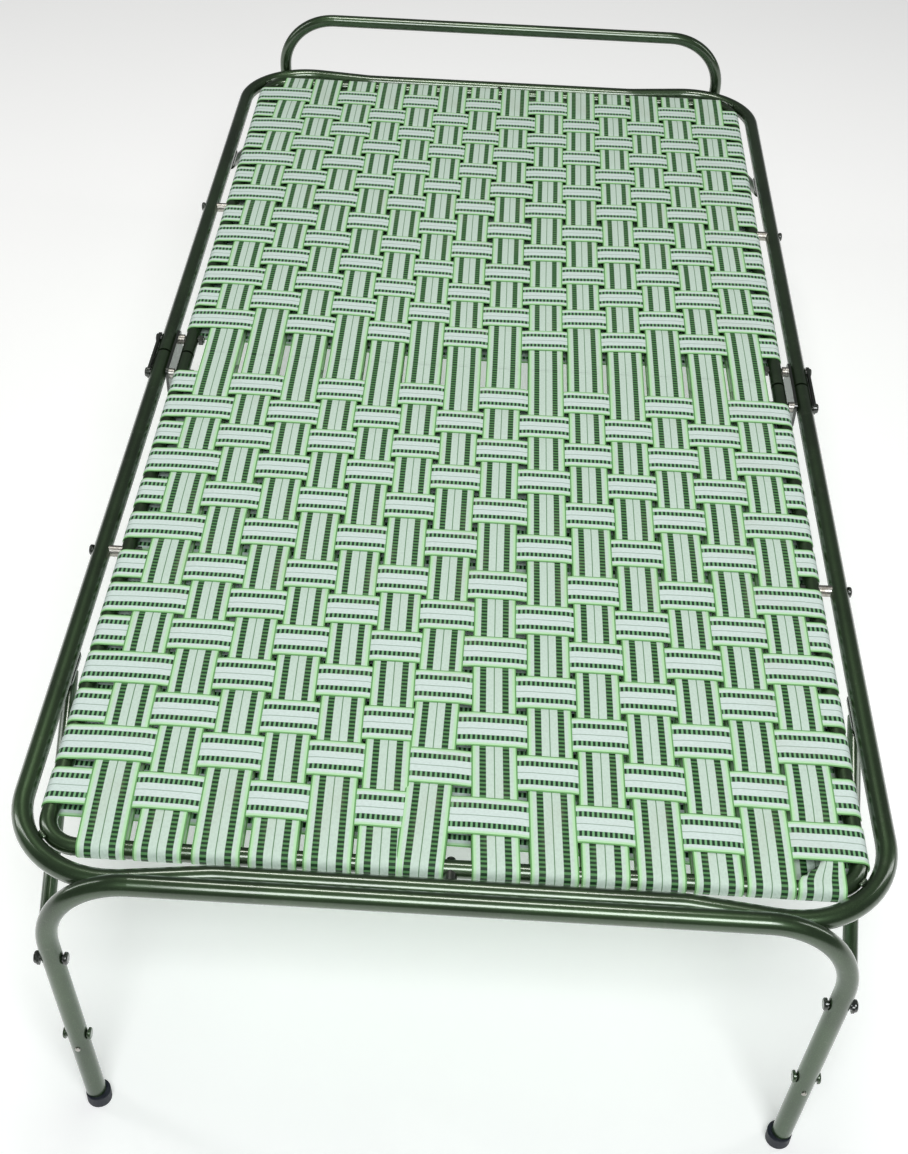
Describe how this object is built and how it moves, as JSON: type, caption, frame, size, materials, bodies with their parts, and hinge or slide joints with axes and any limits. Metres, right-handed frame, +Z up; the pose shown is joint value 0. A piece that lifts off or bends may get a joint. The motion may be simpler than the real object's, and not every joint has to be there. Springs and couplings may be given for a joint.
{
  "type": "folding cot",
  "caption": "Low folding bed of bent steel tube with woven webbing; it folds upward at the middle, and its end legs fold under.",
  "frame": {"origin": "on the floor under the middle of the bed", "axes": "+X across the bed, +Y towards the head end, +Z up"},
  "size_m": [0.9298, 1.9148, 0.455],
  "materials": {
    "green_enamel": "gloss enamel",
    "black_steel": "black enamel",
    "zinc": "zinc plated",
    "rubber": "matt",
    "webbing_cross": "woven plastic strap",
    "webbing_length": "woven plastic strap"
  },
  "bodies": {
    "centre_stand": {"centre_leg_bolts": "zinc", "centre_leg_crossbar": "green_enamel", "centre_leg_nuts": "zinc", "centre_leg_uprights": "green_enamel", "hinge_bolts": "black_steel", "hinge_nuts": "black_steel", "hinge_plates_inner": "black_steel", "hinge_plates_outer": "black_steel", "hinge_spacers": "zinc", "lengthwise_straps_middle": "webbing_length", "rubber_feet_centre": "rubber"},
    "foot_leg": {"foot_leg_frame": "green_enamel", "leg_cross_bolts_foot": "green_enamel", "leg_cross_nuts_foot": "green_enamel", "leg_rivets_foot": "zinc", "rubber_feet_foot": "rubber"},
    "head_leg": {"head_leg_frame": "green_enamel", "leg_cross_bolts_head": "green_enamel", "leg_cross_nuts_head": "green_enamel", "leg_rivets_head": "zinc", "rubber_feet_head": "rubber"},
    "foot_half": {"brace_saddles_foot": "black_steel", "brace_screws_foot": "black_steel", "corner_welds_foot": "green_enamel", "crosswise_straps_foot": "webbing_cross", "end_screw_foot": "black_steel", "end_spacer_foot": "black_steel", "inner_rail_foot": "green_enamel", "leg_braces_foot": "green_enamel", "leg_ears_foot": "black_steel", "leg_pivot_bolts_foot": "black_steel", "leg_pivot_nuts_foot": "black_steel", "lengthwise_straps_foot": "webbing_length", "outer_rail_foot": "green_enamel", "rail_bolts_foot": "black_steel", "rail_nuts_foot": "black_steel", "rail_spacers_foot": "zinc"},
    "head_half": {"brace_saddles_head": "black_steel", "brace_screws_head": "black_steel", "corner_welds_head": "green_enamel", "crosswise_straps_head": "webbing_cross", "end_screw_head": "black_steel", "end_spacer_head": "black_steel", "inner_rail_head": "green_enamel", "leg_braces_head": "green_enamel", "leg_ears_head": "black_steel", "leg_pivot_bolts_head": "black_steel", "leg_pivot_nuts_head": "black_steel", "lengthwise_straps_head": "webbing_length", "outer_rail_head": "green_enamel", "rail_bolts_head": "black_steel", "rail_nuts_head": "black_steel", "rail_spacers_head": "zinc"}
  },
  "joints": [
    {"name": "foot_fold", "type": "hinge", "parent": "centre_stand", "child": "foot_half", "pos_m": [0, -0.042, 0.342], "axis": [-1, 0, 0], "range_deg": [0, 90]},
    {"name": "head_fold", "type": "hinge", "parent": "centre_stand", "child": "head_half", "pos_m": [0, 0.042, 0.342], "axis": [1, 0, 0], "range_deg": [0, 90]},
    {"name": "foot_leg_fold", "type": "hinge", "parent": "foot_half", "child": "foot_leg", "pos_m": [0, -0.9297, 0.2425], "axis": [1, 0, 0], "range_deg": [0, 78]},
    {"name": "head_leg_fold", "type": "hinge", "parent": "head_half", "child": "head_leg", "pos_m": [0, 0.92386, 0.2425], "axis": [-1, 0, 0], "range_deg": [0, 78]}
  ],
  "couplings": [
    {"joint": "head_leg_fold", "follows": "head_fold", "ratio": 0.8666}
  ]
}
